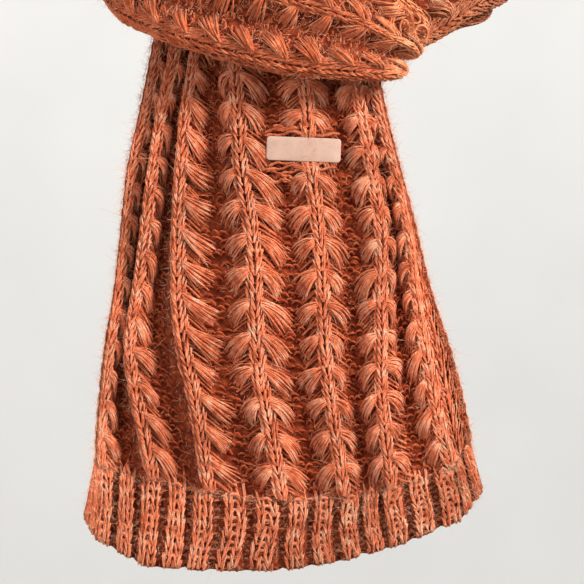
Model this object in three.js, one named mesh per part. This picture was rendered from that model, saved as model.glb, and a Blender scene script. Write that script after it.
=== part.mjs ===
// A chunky knit scarf, wound once round the neck and crossed in front.
// Millimetres, +Z up, the front faces -Y. The origin is the middle of the neck.
// One knitted strip is made as five stretches of wall, with a bare label on the front tail.
import * as THREE from "three";

// Cloth
const WALL = 3.2;
const COLUMN_PITCH = 37;
const FAN_PITCH = 16.7;
const TAIL_FANS = 14;
const CHAIN_RISE = 3.4;
const CHAIN_HALF_WIDTH = 3.2;
const FAN_RISE = 2.7;
const FAN_REACH = 14;
const FAN_TAPER = 0.85;
const RIB_RISE = 2.6;
const RIB_COUNT = 18;
const SEAM_GAP = 0.3;

// Front tail
const TAIL_LEAN = 0.135;
const TAIL_TOP_DEPTH = 90;
const TAIL_TOP_Z = -64;
const LEFT_ROLL_WIDTH = 75;
const RIGHT_ROLL_WIDTH = 40;
const GROOVE_BASE = 1.4;
const GROOVE_MOST = 4.6;
const GROOVE_TIGHT = 12;

// Label
const LABEL = { width: 41.5, height: 13.4, thick: 1.3, corner: 1.9, x: 0.4, z: -105, turn: -0.03 };

// Colours
const RUST = 0xbc6444;
const RUST_SHADE = 0xa9563a;
const LEATHER = 0xe1b7a3;

// Front tail at each height: lines holds the X of its left edge, of its seven stitch columns and of
// its right edge, and rollL and rollR say how far the edges roll back.
const TAIL_ROWS = [
  { z: -30, lines: [-80, -78, -68, -55, -33, -1, 23, 31, 35], rollL: 34, rollR: 11 },
  { z: -53, lines: [-84.5, -81.7, -71.1, -59.4, -37.8, 0, 27.2, 36.7, 40], rollL: 34, rollR: 11 },
  { z: -82, lines: [-90, -87.2, -77.8, -63.9, -36.7, 2.8, 31.1, 41.7, 45], rollL: 31, rollR: 11 },
  { z: -111, lines: [-96.7, -94.5, -81.7, -66.1, -35.6, 3.9, 36.7, 49.4, 52.2], rollL: 28, rollR: 10 },
  { z: -133, lines: [-99.5, -97.2, -83.9, -68.3, -32.8, 7.2, 40.6, 55, 58.3], rollL: 25, rollR: 9 },
  { z: -156, lines: [-101.1, -99.5, -86.1, -70, -27.8, 10, 43.9, 59.4, 63.9], rollL: 22, rollR: 8 },
  { z: -186, lines: [-104.5, -102.2, -91.1, -70.6, -26.7, 11.7, 42.8, 62.2, 71.1], rollL: 18, rollR: 7 },
  { z: -215, lines: [-110, -107.2, -97.2, -67.8, -25, 12.2, 43.3, 67.2, 81.1], rollL: 14, rollR: 6 },
  { z: -237, lines: [-112.2, -110, -93.9, -61.7, -22.8, 14.4, 42.8, 71.1, 87.2], rollL: 9, rollR: 5 },
  { z: -261, lines: [-114.5, -112.2, -88.3, -57.2, -17.2, 16.7, 45, 75.6, 92.2], rollL: 7, rollR: 5 },
  { z: -283, lines: [-115, -112.2, -83.9, -53.9, -13.9, 20.6, 47.8, 83.3, 95.6], rollL: 6, rollR: 4 },
  { z: -303, lines: [-118.3, -113.3, -81.7, -50.6, -10.6, 22.2, 50.6, 87.2, 97.8], rollL: 6, rollR: 4 },
];
const LAST_LINE = TAIL_ROWS[0].lines.length - 1;

// Hem: where the ribbing starts and ends below each of those nine lines.
const HEM_ROWS = [
  { topZ: -279, x: -122, z: -308.4 },
  { topZ: -281, x: -114.5, z: -321.5 },
  { topZ: -288, x: -88.3, z: -336 },
  { topZ: -295, x: -55, z: -338.4 },
  { topZ: -300, x: -11.1, z: -338.4 },
  { topZ: -298, x: 23.3, z: -332.8 },
  { topZ: -293, x: 52.8, z: -324.5 },
  { topZ: -282, x: 87.2, z: -311 },
  { topZ: -267, x: 100, z: -294 },
];

// The wound strip, folded in three along its length, from its hidden end above the front tail, over
// the right shoulder, round the back and over the left shoulder to the fold at the end of the band.
// low and high are the edges of the folded strip, thick is its depth, crown bows it outwards, crease
// sinks the front layer between two columns and lip is how far the back layer hangs below the fold.
const STRAND_FRONT_RIGHT = [
  { low: [42, -82, -54], high: [-72, -57, -37], thick: 13, crown: 13, crease: 0, lip: 0, relief: 0 },
  { low: [46, -77, -51], high: [-42, -64, -4], thick: 15, crown: 9, crease: 0, lip: 0, relief: 0 },
  { low: [54, -71, -48], high: [8, -68, 22], thick: 16, crown: 5, crease: 2, lip: 2, relief: 0.4 },
  { low: [70, -62, -43], high: [44, -58, 32], thick: 19, crown: 3, crease: 4, lip: 4.5, relief: 1 },
  { low: [91.7, -46, -28.5], high: [66, -40, 40], thick: 21, crown: 3, crease: 5, lip: 7, relief: 1 },
  { low: [109, -20, -20.5], high: [76, -18, 47], thick: 21, crown: 3, crease: 4, lip: 8.2, relief: 1 },
  { low: [114.5, 10, -11], high: [75, 8, 56], thick: 21, crown: 3, crease: 3, lip: 3.7, relief: 1 },
  { low: [106, 48, 0], high: [66, 34, 67], thick: 21, crown: 3, crease: 2, lip: 0, relief: 1 },
  { low: [78, 84, 11], high: [46, 60, 79], thick: 21, crown: 3, crease: 2, lip: 0, relief: 1 },
  { low: [40, 103, 17], high: [23, 73, 86], thick: 21, crown: 3, crease: 2, lip: 0, relief: 1 },
  { low: [0, 109, 18], high: [0, 77, 88], thick: 21, crown: 3, crease: 2, lip: 0, relief: 1 },
];
const STRAND_FRONT_LEFT = [
  { low: [-40, 103, 17], high: [-23, 73, 86], thick: 21, crown: 3, crease: 2, lip: 0, relief: 1 },
  { low: [-78, 84, 11], high: [-46, 60, 79], thick: 21, crown: 3, crease: 2, lip: 0, relief: 1 },
  { low: [-106, 48, 0], high: [-66, 34, 67], thick: 21, crown: 3, crease: 2, lip: 0, relief: 1 },
  { low: [-112, 12, -9], high: [-76, 8, 56], thick: 21, crown: 3, crease: 2, lip: 0, relief: 1 },
  { low: [-105, -28, -20], high: [-78, -23, 45], thick: 21, crown: 3, crease: 2, lip: 0, relief: 1 },
  { low: [-95, -60.5, -33], high: [-70, -50, 38], thick: 21, crown: 3, crease: 2, lip: 0, relief: 1 },
  { low: [-73, -86, -44], high: [-54, -72, 31], thick: 21, crown: 3, crease: 2.5, lip: 0, relief: 1 },
  { low: [-42, -103, -54], high: [-32, -90, 23], thick: 21, crown: 3, crease: 3, lip: 0, relief: 1 },
  { low: [-8, -110, -62], high: [-4, -102, 13], thick: 21, crown: 3, crease: 3.5, lip: 0, relief: 1 },
  { low: [22, -112, -64.5], high: [25, -105, -2], thick: 20, crown: 3, crease: 5, lip: 0, relief: 1 },
  { low: [42, -107.5, -65], high: [49, -102, -21], thick: 19, crown: 2, crease: 7, lip: 0, relief: 1 },
  { low: [49, -99.5, -63], high: [61, -95, -31], thick: 17, crown: 1, crease: 6, lip: 0, relief: 0.8 },
  { low: [48, -91.5, -60], high: [65, -89, -37], thick: 15, crown: 0, crease: 4, lip: 0, relief: 0.3 },
];
const STRAND = [...STRAND_FRONT_RIGHT, ...STRAND_FRONT_LEFT];

// Stations of STRAND where the stretches meet, over the right and the left shoulder.
const RIGHT_SEAM = 6.4;
const LEFT_SEAM = 13.6;

// Section of the folded strip: the share of its width on each layer and fold, from the inner free
// edge to the outer one, and the stitch columns that show.
const MIDDLE_END = 0.2;
const LOW_FOLD_END = 0.27;
const FRONT_END = 0.57;
const TOP_FOLD_END = 0.7;
const STRIP_WIDTH = 240;
const STRIP_COLUMNS = [0.25, 0.43, 0.6, 0.76, 0.92];
const CREASE_PLACE = 0.3;
const CREASE_SPREAD = 0.15;
const MIDDLE_DROP = 6;

// Hidden second tail: left and right edge, depth, depth of its gathers and how far its right edge
// comes forward to the end of the band, at each height.
const UNDER_ROWS = [
  { z: -58.5, left: -32, right: 54, y: -67, gather: 1.4, forward: 23.3 },
  { z: -65, left: -36, right: 37.5, y: -67.5, gather: 2.4, forward: 2 },
  { z: -82, left: -40, right: 30, y: -70, gather: 3.2, forward: 0 },
  { z: -120, left: -48, right: 36, y: -77, gather: 4, forward: 0 },
  { z: -160, left: -57, right: 45, y: -84, gather: 4.2, forward: 0 },
  { z: -220, left: -66, right: 56, y: -92, gather: 4.4, forward: 0 },
  { z: -298, left: -76, right: 66, y: -103, gather: 4, forward: 0 },
];
const FORWARD_POWER = 14;
const UNDER_GATHERS = 8;

const mix = (a, b, t) => a + (b - a) * t;
const clamp01 = (t) => Math.min(1, Math.max(0, t));

// What read takes from a table's rows, at a given height, with the rows sorted downwards.
function atHeight(rows, z, read) {
  let k = 0;
  while (k < rows.length - 2 && rows[k + 1].z > z) k++;
  const t = clamp01((rows[k].z - z) / (rows[k].z - rows[k + 1].z));
  return mix(read(rows[k]), read(rows[k + 1]), t);
}

// Catmull-Rom blend of four table values.
function blend(p0, p1, p2, p3, t) {
  const a = 2 * p1;
  const b = p2 - p0;
  const c = 2 * p0 - 5 * p1 + 4 * p2 - p3;
  const d = 3 * p1 - p0 - 3 * p2 + p3;
  return 0.5 * (a + b * t + c * t * t + d * t * t * t);
}

// A value of STRAND at a station, which may lie between two rows.
function atStation(station, read) {
  const last = STRAND.length - 1;
  const k = Math.min(last - 1, Math.max(0, Math.floor(station)));
  const row = (i) => read(STRAND[Math.min(last, Math.max(0, i))]);
  return blend(row(k - 1), row(k), row(k + 1), row(k + 2), station - k);
}

function strandPoint(station, name) {
  return new THREE.Vector3(...[0, 1, 2].map((axis) => atStation(station, (row) => row[name][axis])));
}

function strandCentre(station) {
  return strandPoint(station, "low").add(strandPoint(station, "high")).multiplyScalar(0.5);
}

// Height of the knit above the wall, at a distance from a column's middle and a length along it.
function knitRise(distance, length) {
  const chain = CHAIN_RISE * Math.exp(-((distance / CHAIN_HALF_WIDTH) ** 2));
  const fans = length / FAN_PITCH + 1e-6;
  const phase = fans - Math.floor(fans);
  const reach = clamp01(1 - distance / FAN_REACH);
  return Math.max(chain, FAN_RISE * Math.sqrt(reach) * (1 - FAN_TAPER * phase));
}

// Triangles between two lines of points, which may have different counts.
function stitch(triangles, a, b) {
  let i = 0;
  let j = 0;
  while (i < a.length - 1 || j < b.length - 1) {
    const nextA = (i + 1) / (a.length - 1);
    const nextB = (j + 1) / (b.length - 1);
    if (j === b.length - 1 || (i < a.length - 1 && nextA <= nextB)) {
      triangles.push(a[i], b[j], a[i + 1]);
      i++;
    } else {
      triangles.push(a[i], b[j], b[j + 1]);
      j++;
    }
  }
}

// A closed wall from the rows of its outer and its inner face.
function wallGeometry(outerRows, innerRows) {
  const points = [];
  const numbered = (rows) => rows.map((row) => row.map((point) => points.push(point) - 1));
  const outer = numbered(outerRows);
  const inner = numbered(innerRows);
  const triangles = [];
  for (let k = 0; k + 1 < outer.length; k++) stitch(triangles, outer[k], outer[k + 1]);
  for (let k = 0; k + 1 < inner.length; k++) stitch(triangles, inner[k + 1], inner[k]);
  const side = (rows, place) => rows.map((row) => row.at(place));
  stitch(triangles, inner[0], outer[0]);
  stitch(triangles, outer.at(-1), inner.at(-1));
  stitch(triangles, side(outer, 0), side(inner, 0));
  stitch(triangles, side(inner, -1), side(outer, -1));

  let volume = 0;
  for (let k = 0; k < triangles.length; k += 3) {
    const [a, b, c] = [0, 1, 2].map((n) => points[triangles[k + n]]);
    volume += a.dot(b.clone().cross(c));
  }
  if (volume < 0) triangles.reverse();
  const geometry = new THREE.BufferGeometry();
  geometry.setAttribute("position", new THREE.Float32BufferAttribute(points.flatMap((p) => p.toArray()), 3));
  geometry.setIndex(triangles);
  geometry.computeVertexNormals();
  return geometry;
}

// Even steps from one number to another, both included.
function steps(from, to, count) {
  return Array.from({ length: count + 1 }, (_, k) => mix(from, to, k / count));
}

// Front tail

function tailLine(z, across) {
  const k = Math.min(LAST_LINE - 1, Math.floor(across));
  const here = atHeight(TAIL_ROWS, z, (row) => row.lines[k]);
  const next = atHeight(TAIL_ROWS, z, (row) => row.lines[k + 1]);
  return { x: mix(here, next, across - k), spacing: next - here, part: across - k };
}

function hemValue(across, name) {
  const k = Math.min(LAST_LINE - 1, Math.floor(across));
  return mix(HEM_ROWS[k][name], HEM_ROWS[k + 1][name], across - k);
}

// The tail's top edge runs just under the end of the wound strip.
function tailTopZ(across) {
  const { x } = tailLine(-53, across);
  return mix(-55, -37, clamp01((42 - x) / 117)) - SEAM_GAP;
}

// Depth of the tail's middle plane, with both edges rolled back towards the body.
function tailDepth(x, z) {
  const left = atHeight(TAIL_ROWS, z, (row) => row.lines[0]);
  const right = atHeight(TAIL_ROWS, z, (row) => row.lines[LAST_LINE]);
  const rollL = atHeight(TAIL_ROWS, z, (row) => row.rollL) * clamp01(1 - (x - left) / LEFT_ROLL_WIDTH) ** 2;
  const rollR = atHeight(TAIL_ROWS, z, (row) => row.rollR) * clamp01(1 - (right - x) / RIGHT_ROLL_WIDTH) ** 2;
  return -TAIL_TOP_DEPTH - TAIL_LEAN * Math.max(0, TAIL_TOP_Z - z) + rollL + rollR;
}

// A point of the tail's middle plane: across counts its nine lines, and down runs from 0 at the top
// to 1 where the ribbing starts and 2 at the hem's edge.
function tailPoint(across, down) {
  const bodyZ = mix(tailTopZ(across), hemValue(across, "topZ"), Math.min(1, down));
  const line = tailLine(bodyZ, across);
  const share = clamp01(down - 1);
  const x = mix(line.x, hemValue(across, "x"), share);
  const z = mix(bodyZ, hemValue(across, "z"), share);
  const tight = clamp01((COLUMN_PITCH - line.spacing) / (COLUMN_PITCH - GROOVE_TIGHT));
  const inner = across >= 1 && across <= LAST_LINE - 1;
  const groove = inner ? (GROOVE_BASE + GROOVE_MOST * tight) * Math.sin(Math.PI * line.part) ** 2 : 0;
  const sunk = groove * (1 - share);
  return { x, z, y: tailDepth(x, z) + sunk, line, down, share };
}

// The knit lies flat under the label.
function underLabel(x, z) {
  const wide = clamp01((LABEL.width / 2 + 7 - Math.abs(x - LABEL.x)) / 5);
  const high = clamp01((LABEL.height / 2 + 6 - Math.abs(z - LABEL.z)) / 4);
  return wide * high;
}

function tailRise(point, across) {
  const { line, down, share, x, z } = point;
  const distance = Math.min(line.part, 1 - line.part) * line.spacing;
  const knit = knitRise(distance, down * TAIL_FANS * FAN_PITCH) * (1 - underLabel(x, z));
  const rib = RIB_RISE * clamp01(1.25 * Math.sin(Math.PI * ((across / LAST_LINE) * RIB_COUNT % 1)) - 0.1);
  return mix(knit, rib, clamp01(share * 3));
}

function tailRows(acrossSteps, downSteps, offset) {
  return downSteps.map((down) =>
    acrossSteps(down).map((across) => {
      const p = tailPoint(across, down);
      return new THREE.Vector3(p.x, p.y + offset(p, across), p.z);
    }),
  );
}

const BODY_PARTS = [0, 0.07, 0.2, 0.35, 0.5, 0.65, 0.8, 0.93];
const EDGE_PARTS = [0, 0.5];
const INNER_PARTS = [0, 0.25, 0.5, 0.75];

function acrossColumns(parts, edgeParts) {
  const lines = [];
  for (let k = 0; k < LAST_LINE; k++) {
    const edge = k === 0 || k === LAST_LINE - 1;
    for (const part of edge ? edgeParts : parts) lines.push(k + part);
  }
  return [...lines, LAST_LINE];
}

const RIB_STEPS = 3;
const ribLines = steps(0, LAST_LINE, RIB_COUNT * RIB_STEPS);
const bodyLines = acrossColumns(BODY_PARTS, EDGE_PARTS);
const innerLines = acrossColumns(INNER_PARTS, EDGE_PARTS);
const FAN_STEPS = 3;

function makeFrontTail() {
  const downOuter = [...steps(0, 1, TAIL_FANS * FAN_STEPS), 1.25, 1.5, 1.75, 2];
  const downInner = [...steps(0, 1, 14), 1.5, 2];
  const outer = tailRows(
    (down) => (down > 1 ? ribLines : bodyLines),
    downOuter,
    (p, across) => -WALL / 2 - tailRise(p, across),
  );
  const inner = tailRows(() => innerLines, downInner, () => WALL / 2);
  return wallGeometry(outer, inner);
}

// Wound strip

// A point of the folded section, u being the share of the strip's width: up is its height from the
// middle, out its depth, and nUp and nOut face the cloth's right side.
function sectionPoint(u, height, row) {
  const depth = row.thick - WALL;
  const lowRadius = depth / 4;
  const topRadius = depth / 2;
  const foldLow = -height / 2 + lowRadius;
  const foldHigh = height / 2 - topRadius;
  let point;
  if (u < MIDDLE_END) {
    const t = u / MIDDLE_END;
    point = { up: mix(foldHigh - MIDDLE_DROP, foldLow, t), out: 0, nUp: 0, nOut: -1, dent: 0.5 };
  } else if (u < LOW_FOLD_END) {
    const angle = Math.PI * (1 + (u - MIDDLE_END) / (LOW_FOLD_END - MIDDLE_END));
    const [nOut, nUp] = [Math.cos(angle), Math.sin(angle)];
    const dent = 0.75 + nOut / 4;
    point = { up: foldLow + lowRadius * nUp, out: lowRadius * (1 + nOut), nUp, nOut, dent };
  } else if (u < FRONT_END) {
    const t = (u - LOW_FOLD_END) / (FRONT_END - LOW_FOLD_END);
    point = { up: mix(foldLow, foldHigh, t), out: topRadius, nUp: 0, nOut: 1, dent: 1 };
  } else if (u < TOP_FOLD_END) {
    const angle = Math.PI * ((u - FRONT_END) / (TOP_FOLD_END - FRONT_END));
    const [nOut, nUp] = [Math.cos(angle), Math.sin(angle)];
    point = { up: foldHigh + topRadius * nUp, out: topRadius * nOut, nUp, nOut, dent: 0 };
  } else {
    const t = (u - TOP_FOLD_END) / (1 - TOP_FOLD_END);
    point = { up: mix(foldHigh, 2 - height / 2 - row.lip, t), out: -topRadius, nUp: 0, nOut: -1, dent: 0 };
  }
  const place = (point.up - foldLow) / (foldHigh - foldLow) - CREASE_PLACE;
  const crease = row.crease * point.dent * Math.exp(-((place / CREASE_SPREAD) ** 2));
  point.out += row.crown * (1 - (2 * point.up / height) ** 2) - crease;
  return point;
}

function strandFrame(station) {
  const low = strandPoint(station, "low");
  const high = strandPoint(station, "high");
  const upward = high.clone().sub(low);
  const height = upward.length();
  upward.divideScalar(height);
  const along = strandCentre(station + 0.05).sub(strandCentre(station - 0.05));
  const outward = along.cross(upward).normalize();
  const row = {};
  for (const name of ["thick", "crown", "crease", "lip", "relief"]) {
    row[name] = Math.max(0, atStation(station, (r) => r[name]));
  }
  return { centre: low.add(high).multiplyScalar(0.5), upward, outward, height, row };
}

// Length of the strip's middle up to a station, and its inverse.
const STATION_STEP = 0.02;
const strandLengths = [0];
for (let k = 1; k * STATION_STEP <= STRAND.length - 1; k++) {
  const stepLength = strandCentre(k * STATION_STEP).distanceTo(strandCentre((k - 1) * STATION_STEP));
  strandLengths.push(strandLengths.at(-1) + stepLength);
}

function lengthAt(station) {
  const k = Math.min(strandLengths.length - 2, Math.floor(station / STATION_STEP));
  return mix(strandLengths[k], strandLengths[k + 1], station / STATION_STEP - k);
}

function stationAt(length) {
  let k = 0;
  while (k < strandLengths.length - 2 && strandLengths[k + 1] < length) k++;
  const share = (length - strandLengths[k]) / (strandLengths[k + 1] - strandLengths[k]);
  return (k + share) * STATION_STEP;
}

function strandRise(u, length, row) {
  if (u < LOW_FOLD_END - 0.04) return 0;
  const distance = Math.min(...STRIP_COLUMNS.map((column) => Math.abs(u - column))) * STRIP_WIDTH;
  return knitRise(distance, length) * row.relief;
}

const OUTER_SHARES = [
  ...steps(0, MIDDLE_END, 2),
  ...steps(MIDDLE_END, LOW_FOLD_END, 4).slice(1),
  ...steps(LOW_FOLD_END, FRONT_END, 12).slice(1),
  ...steps(FRONT_END, TOP_FOLD_END, 5).slice(1),
  ...steps(TOP_FOLD_END, 1, 4).slice(1),
];
const INNER_SHARES = [
  ...steps(0, MIDDLE_END, 2),
  ...steps(MIDDLE_END, LOW_FOLD_END, 2).slice(1),
  ...steps(LOW_FOLD_END, FRONT_END, 6).slice(1),
  ...steps(FRONT_END, TOP_FOLD_END, 4).slice(1),
  ...steps(TOP_FOLD_END, 1, 2).slice(1),
];

function strandRows(from, to, count, shares, offset) {
  return steps(from, to, count).map((length) => {
    const { centre, upward, outward, height, row } = strandFrame(stationAt(length));
    return shares.map((u) => {
      const p = sectionPoint(u, height, row);
      const rise = offset(u, length, row);
      return centre
        .clone()
        .addScaledVector(upward, p.up + p.nUp * rise)
        .addScaledVector(outward, p.out + p.nOut * rise);
    });
  });
}

// One stretch of the strip between two lengths, with a row about every outerStep and innerStep.
function makeStretch(from, to, outerStep, innerStep) {
  const outerCount = Math.round((to - from) / outerStep);
  const innerCount = Math.round((to - from) / innerStep);
  const raised = (u, length, row) => WALL / 2 + strandRise(u, length, row);
  const outer = strandRows(from, to, outerCount, OUTER_SHARES, raised);
  const inner = strandRows(from, to, innerCount, INNER_SHARES, () => -WALL / 2);
  return wallGeometry(outer, inner);
}

// Second tail

function makeUnderTail() {
  const rows = (downSteps, acrossSteps, offset) =>
    downSteps.map((z) =>
      acrossSteps.map((across) => {
        const at = (name) => atHeight(UNDER_ROWS, z, (row) => row[name]);
        const wave = Math.cos(across * UNDER_GATHERS * 2 * Math.PI) * at("gather");
        const forward = at("forward") * across ** FORWARD_POWER;
        const x = mix(at("left"), at("right"), across);
        return new THREE.Vector3(x, at("y") + wave - forward + offset, z);
      }),
    );
  const heights = [-56.5, -61, -66, -74, -82, ...steps(-105, -298, 7)];
  const across = steps(0, 1, UNDER_GATHERS * 4);
  return wallGeometry(rows(heights, across, -WALL / 2), rows(heights, across, WALL / 2));
}

// Label

function makeLabel() {
  const { width, height, thick, corner } = LABEL;
  const [w, h] = [width / 2, height / 2];
  const outline = new THREE.Shape();
  outline.moveTo(-w + corner, -h);
  outline.lineTo(w - corner, -h);
  outline.absarc(w - corner, -h + corner, corner, -Math.PI / 2, 0);
  outline.absarc(w - corner, h - corner, corner, 0, Math.PI / 2);
  outline.absarc(-w + corner, h - corner, corner, Math.PI / 2, Math.PI);
  outline.absarc(-w + corner, -h + corner, corner, Math.PI, 1.5 * Math.PI);
  const slab = new THREE.ExtrudeGeometry(outline, { depth: thick, bevelEnabled: false, curveSegments: 5 });
  slab.rotateX(Math.PI / 2);
  return slab;
}

// Most forward point of the tail's outer face behind the label.
const LABEL_MARGIN = 2.5;

function clothFrontAtLabel() {
  let front = 0;
  for (const down of steps(0, 1, TAIL_FANS * FAN_STEPS)) {
    for (const across of bodyLines) {
      const p = tailPoint(across, down);
      const beside = Math.abs(p.x - LABEL.x) > LABEL.width / 2 + LABEL_MARGIN;
      const beyond = Math.abs(p.z - LABEL.z) > LABEL.height / 2 + LABEL_MARGIN;
      if (!beside && !beyond) front = Math.min(front, p.y - WALL / 2 - tailRise(p, across));
    }
  }
  return front;
}

function piece(name, geometry, color, roughness) {
  const mesh = new THREE.Mesh(geometry, new THREE.MeshStandardMaterial({ color, roughness, metalness: 0 }));
  mesh.name = name;
  return mesh;
}

const total = strandLengths.at(-1);
const rightSeam = lengthAt(RIGHT_SEAM);
const leftSeam = lengthAt(LEFT_SEAM);

const scarf = new THREE.Group();
scarf.add(piece("front_tail", makeFrontTail(), RUST, 0.95));
scarf.add(piece("side_band", makeStretch(0, rightSeam - SEAM_GAP / 2, 8.35, 14), RUST_SHADE, 0.95));
const loopEnds = [rightSeam + SEAM_GAP / 2, leftSeam - SEAM_GAP / 2];
scarf.add(piece("neck_loop", makeStretch(...loopEnds, 11, 16), RUST, 0.95));
scarf.add(piece("cross_band", makeStretch(leftSeam + SEAM_GAP / 2, total, 6, 9), RUST, 0.95));
scarf.add(piece("under_tail", makeUnderTail(), RUST_SHADE, 0.95));

const label = piece("label", makeLabel(), LEATHER, 0.7);
label.position.set(LABEL.x, clothFrontAtLabel() - SEAM_GAP, LABEL.z);
label.rotation.y = LABEL.turn;
scarf.add(label);

export default scarf;
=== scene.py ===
# A chunky knit scarf, wound once round the neck and crossed in front, built stitch by stitch.
# The tables are in millimetres, and every mesh is made in metres.
import math

import bpy
import numpy as np
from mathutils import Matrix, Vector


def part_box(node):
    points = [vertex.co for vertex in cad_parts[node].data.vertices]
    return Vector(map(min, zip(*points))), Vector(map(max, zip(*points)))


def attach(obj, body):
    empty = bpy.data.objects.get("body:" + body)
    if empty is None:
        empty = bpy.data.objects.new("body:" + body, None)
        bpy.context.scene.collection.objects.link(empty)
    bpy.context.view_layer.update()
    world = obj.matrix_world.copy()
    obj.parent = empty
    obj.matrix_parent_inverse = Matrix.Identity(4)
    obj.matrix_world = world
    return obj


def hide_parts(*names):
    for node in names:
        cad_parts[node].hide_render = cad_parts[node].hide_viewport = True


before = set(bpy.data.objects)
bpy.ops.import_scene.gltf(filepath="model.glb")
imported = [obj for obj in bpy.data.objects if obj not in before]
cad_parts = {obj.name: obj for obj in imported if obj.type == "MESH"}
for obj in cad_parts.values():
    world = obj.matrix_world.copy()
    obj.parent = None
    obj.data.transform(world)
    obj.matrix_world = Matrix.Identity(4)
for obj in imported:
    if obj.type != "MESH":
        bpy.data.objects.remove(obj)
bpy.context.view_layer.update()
rng = np.random.default_rng(11)

MM = 0.001
WALL = 3.2
COLUMN_PITCH = 37.0
FAN_PITCH = 16.7
STITCH_PITCH = FAN_PITCH / 4
STRIP_FAN_PITCH = 17.5
FAN_REACH = 15.2
SEAM_GAP = 0.3
GENTLE = 0.6
FORWARD = np.array([0, -1.0, 0])
RIDGE = 3.4
RIDGE_REACH = 8.0

# Front tail at each height: the X of its left edge, of its seven stitch columns and of its right edge,
# and how far the edges roll back.
TAIL_ROWS = [
    (-30, [-80, -78, -68, -55, -33, -1, 23, 31, 35], 34, 11),
    (-53, [-84.5, -81.7, -71.1, -59.4, -37.8, 0, 27.2, 36.7, 40], 34, 11),
    (-82, [-90, -87.2, -77.8, -63.9, -36.7, 2.8, 31.1, 41.7, 45], 31, 11),
    (-111, [-96.7, -94.5, -81.7, -66.1, -35.6, 3.9, 36.7, 49.4, 52.2], 28, 10),
    (-133, [-99.5, -97.2, -83.9, -68.3, -32.8, 7.2, 40.6, 55, 58.3], 25, 9),
    (-156, [-101.1, -99.5, -86.1, -70, -27.8, 10, 43.9, 59.4, 63.9], 22, 8),
    (-186, [-104.5, -102.2, -91.1, -70.6, -26.7, 11.7, 42.8, 62.2, 71.1], 18, 7),
    (-215, [-110, -107.2, -97.2, -67.8, -25, 12.2, 43.3, 67.2, 81.1], 14, 6),
    (-237, [-112.2, -110, -93.9, -61.7, -22.8, 14.4, 42.8, 71.1, 87.2], 9, 5),
    (-261, [-114.5, -112.2, -88.3, -57.2, -17.2, 16.7, 45, 75.6, 92.2], 7, 5),
    (-283, [-115, -112.2, -83.9, -53.9, -13.9, 20.6, 47.8, 83.3, 95.6], 6, 4),
    (-303, [-118.3, -113.3, -81.7, -50.6, -10.6, 22.2, 50.6, 87.2, 97.8], 6, 4),
]
HEM_TOP = [-279, -281, -288, -295, -300, -298, -293, -282, -267]
HEM_X = [-122, -114.5, -88.3, -55, -11.1, 23.3, 52.8, 87.2, 100]
HEM_Z = [-308.4, -321.5, -336, -338.4, -338.4, -332.8, -324.5, -311, -294]
HEM_START = 0.975
HEM_WIDTH = 222
HEM_HEIGHT = 40.5
HEM_ROW = 4.25
# The tail's top lies under the low edge of the band, whose X and Z are these at its right and left.
LIP_RIGHT = (42, -55)
LIP_LEFT = (-75, -37)
TAIL_Y = -90
TAIL_LEAN = 0.135
LEAN_TOP = -64
LINES = 9
TAIL_FANS = 14
RIB_COUNT = 18
LEFT_ROLL_WIDTH = 75
RIGHT_ROLL_WIDTH = 40

# Wound strip: low edge, high edge, thickness, crown, crease and lip at each station.
STRAND_ROWS = [
    ((42, -82, -54), (-72, -57, -37), 13, 13, 0, 0),
    ((46, -77, -51), (-42, -64, -4), 15, 9, 0, 0),
    ((54, -71, -48), (8, -68, 22), 16, 5, 2, 2),
    ((70, -62, -43), (44, -58, 32), 19, 3, 4, 4.5),
    ((91.7, -46, -28.5), (66, -40, 40), 21, 3, 5, 7),
    ((109, -20, -20.5), (76, -18, 47), 21, 3, 4, 8.2),
    ((114.5, 10, -11), (75, 8, 56), 21, 3, 3, 3.7),
    ((106, 48, 0), (66, 34, 67), 21, 3, 2, 0),
    ((78, 84, 11), (46, 60, 79), 21, 3, 2, 0),
    ((40, 103, 17), (23, 73, 86), 21, 3, 2, 0),
    ((0, 109, 18), (0, 77, 88), 21, 3, 2, 0),
    ((-40, 103, 17), (-23, 73, 86), 21, 3, 2, 0),
    ((-78, 84, 11), (-46, 60, 79), 21, 3, 2, 0),
    ((-106, 48, 0), (-66, 34, 67), 21, 3, 2, 0),
    ((-112, 12, -9), (-76, 8, 56), 21, 3, 2, 0),
    ((-105, -28, -20), (-78, -23, 45), 21, 3, 2, 0),
    ((-95, -60.5, -33), (-70, -50, 38), 21, 3, 2, 0),
    ((-73, -86, -44), (-54, -72, 31), 21, 3, 2.5, 0),
    ((-42, -103, -54), (-32, -90, 23), 21, 3, 3, 0),
    ((-8, -110, -62), (-4, -102, 13), 21, 3, 3.5, 0),
    ((22, -112, -64.5), (25, -105, -2), 20, 3, 5, 0),
    ((42, -107.5, -65), (49, -102, -21), 19, 2, 7, 0),
    ((49, -99.5, -63), (61, -95, -31), 17, 1, 6, 0),
    ((48, -91.5, -60), (65, -89, -37), 15, 0, 4, 0),
]
RIGHT_SEAM = 6.4
LEFT_SEAM = 13.6
MIDDLE_END = 0.2
LOW_FOLD_END = 0.27
FRONT_END = 0.57
TOP_FOLD_END = 0.7
STRIP_COLUMNS = [0.262, 0.43, 0.6, 0.76, 0.92]
STRIP_COLUMN_SPACING = 0.175
STRIP_WIDTH = 230
END_FADE = 14.0
END_SHARE = 0.15
CREASE_PLACE = 0.3
CREASE_SPREAD = 0.15
MIDDLE_DROP = 6

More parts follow.
